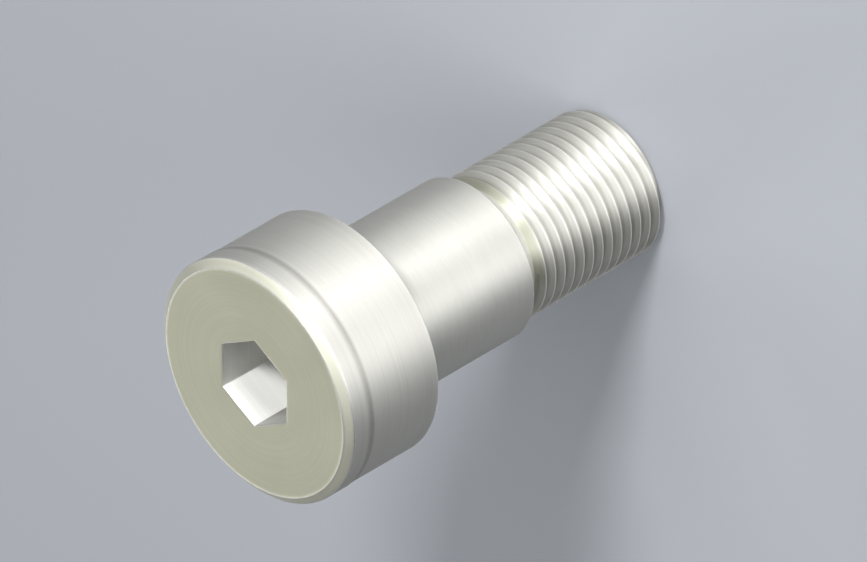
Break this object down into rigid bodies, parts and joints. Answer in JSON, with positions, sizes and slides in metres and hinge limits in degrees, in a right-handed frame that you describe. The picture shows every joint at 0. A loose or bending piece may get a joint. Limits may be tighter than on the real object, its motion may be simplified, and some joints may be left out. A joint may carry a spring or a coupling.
{
  "type": "shoulder bolt",
  "caption": "Socket head shoulder bolt: a cylindrical head with a hexagon socket, a ground shoulder that works as a pivot or guide, a relieved neck and a chamfered threaded end.",
  "frame": {"origin": "on the bolt's axis, in the plane of the seat under the head", "axes": "+Z along the bolt's axis out of the head's front face, so the bolt stands on its threaded end with the socket up; +X through a corner of the hexagon"},
  "size_m": [0.03, 0.03, 0.056],
  "materials": {
    "machined_steel": "turned and ground, satin, uncoated"
  },
  "bodies": {
    "root": {"shoulder_bolt": "machined_steel"}
  },
  "joints": []
}
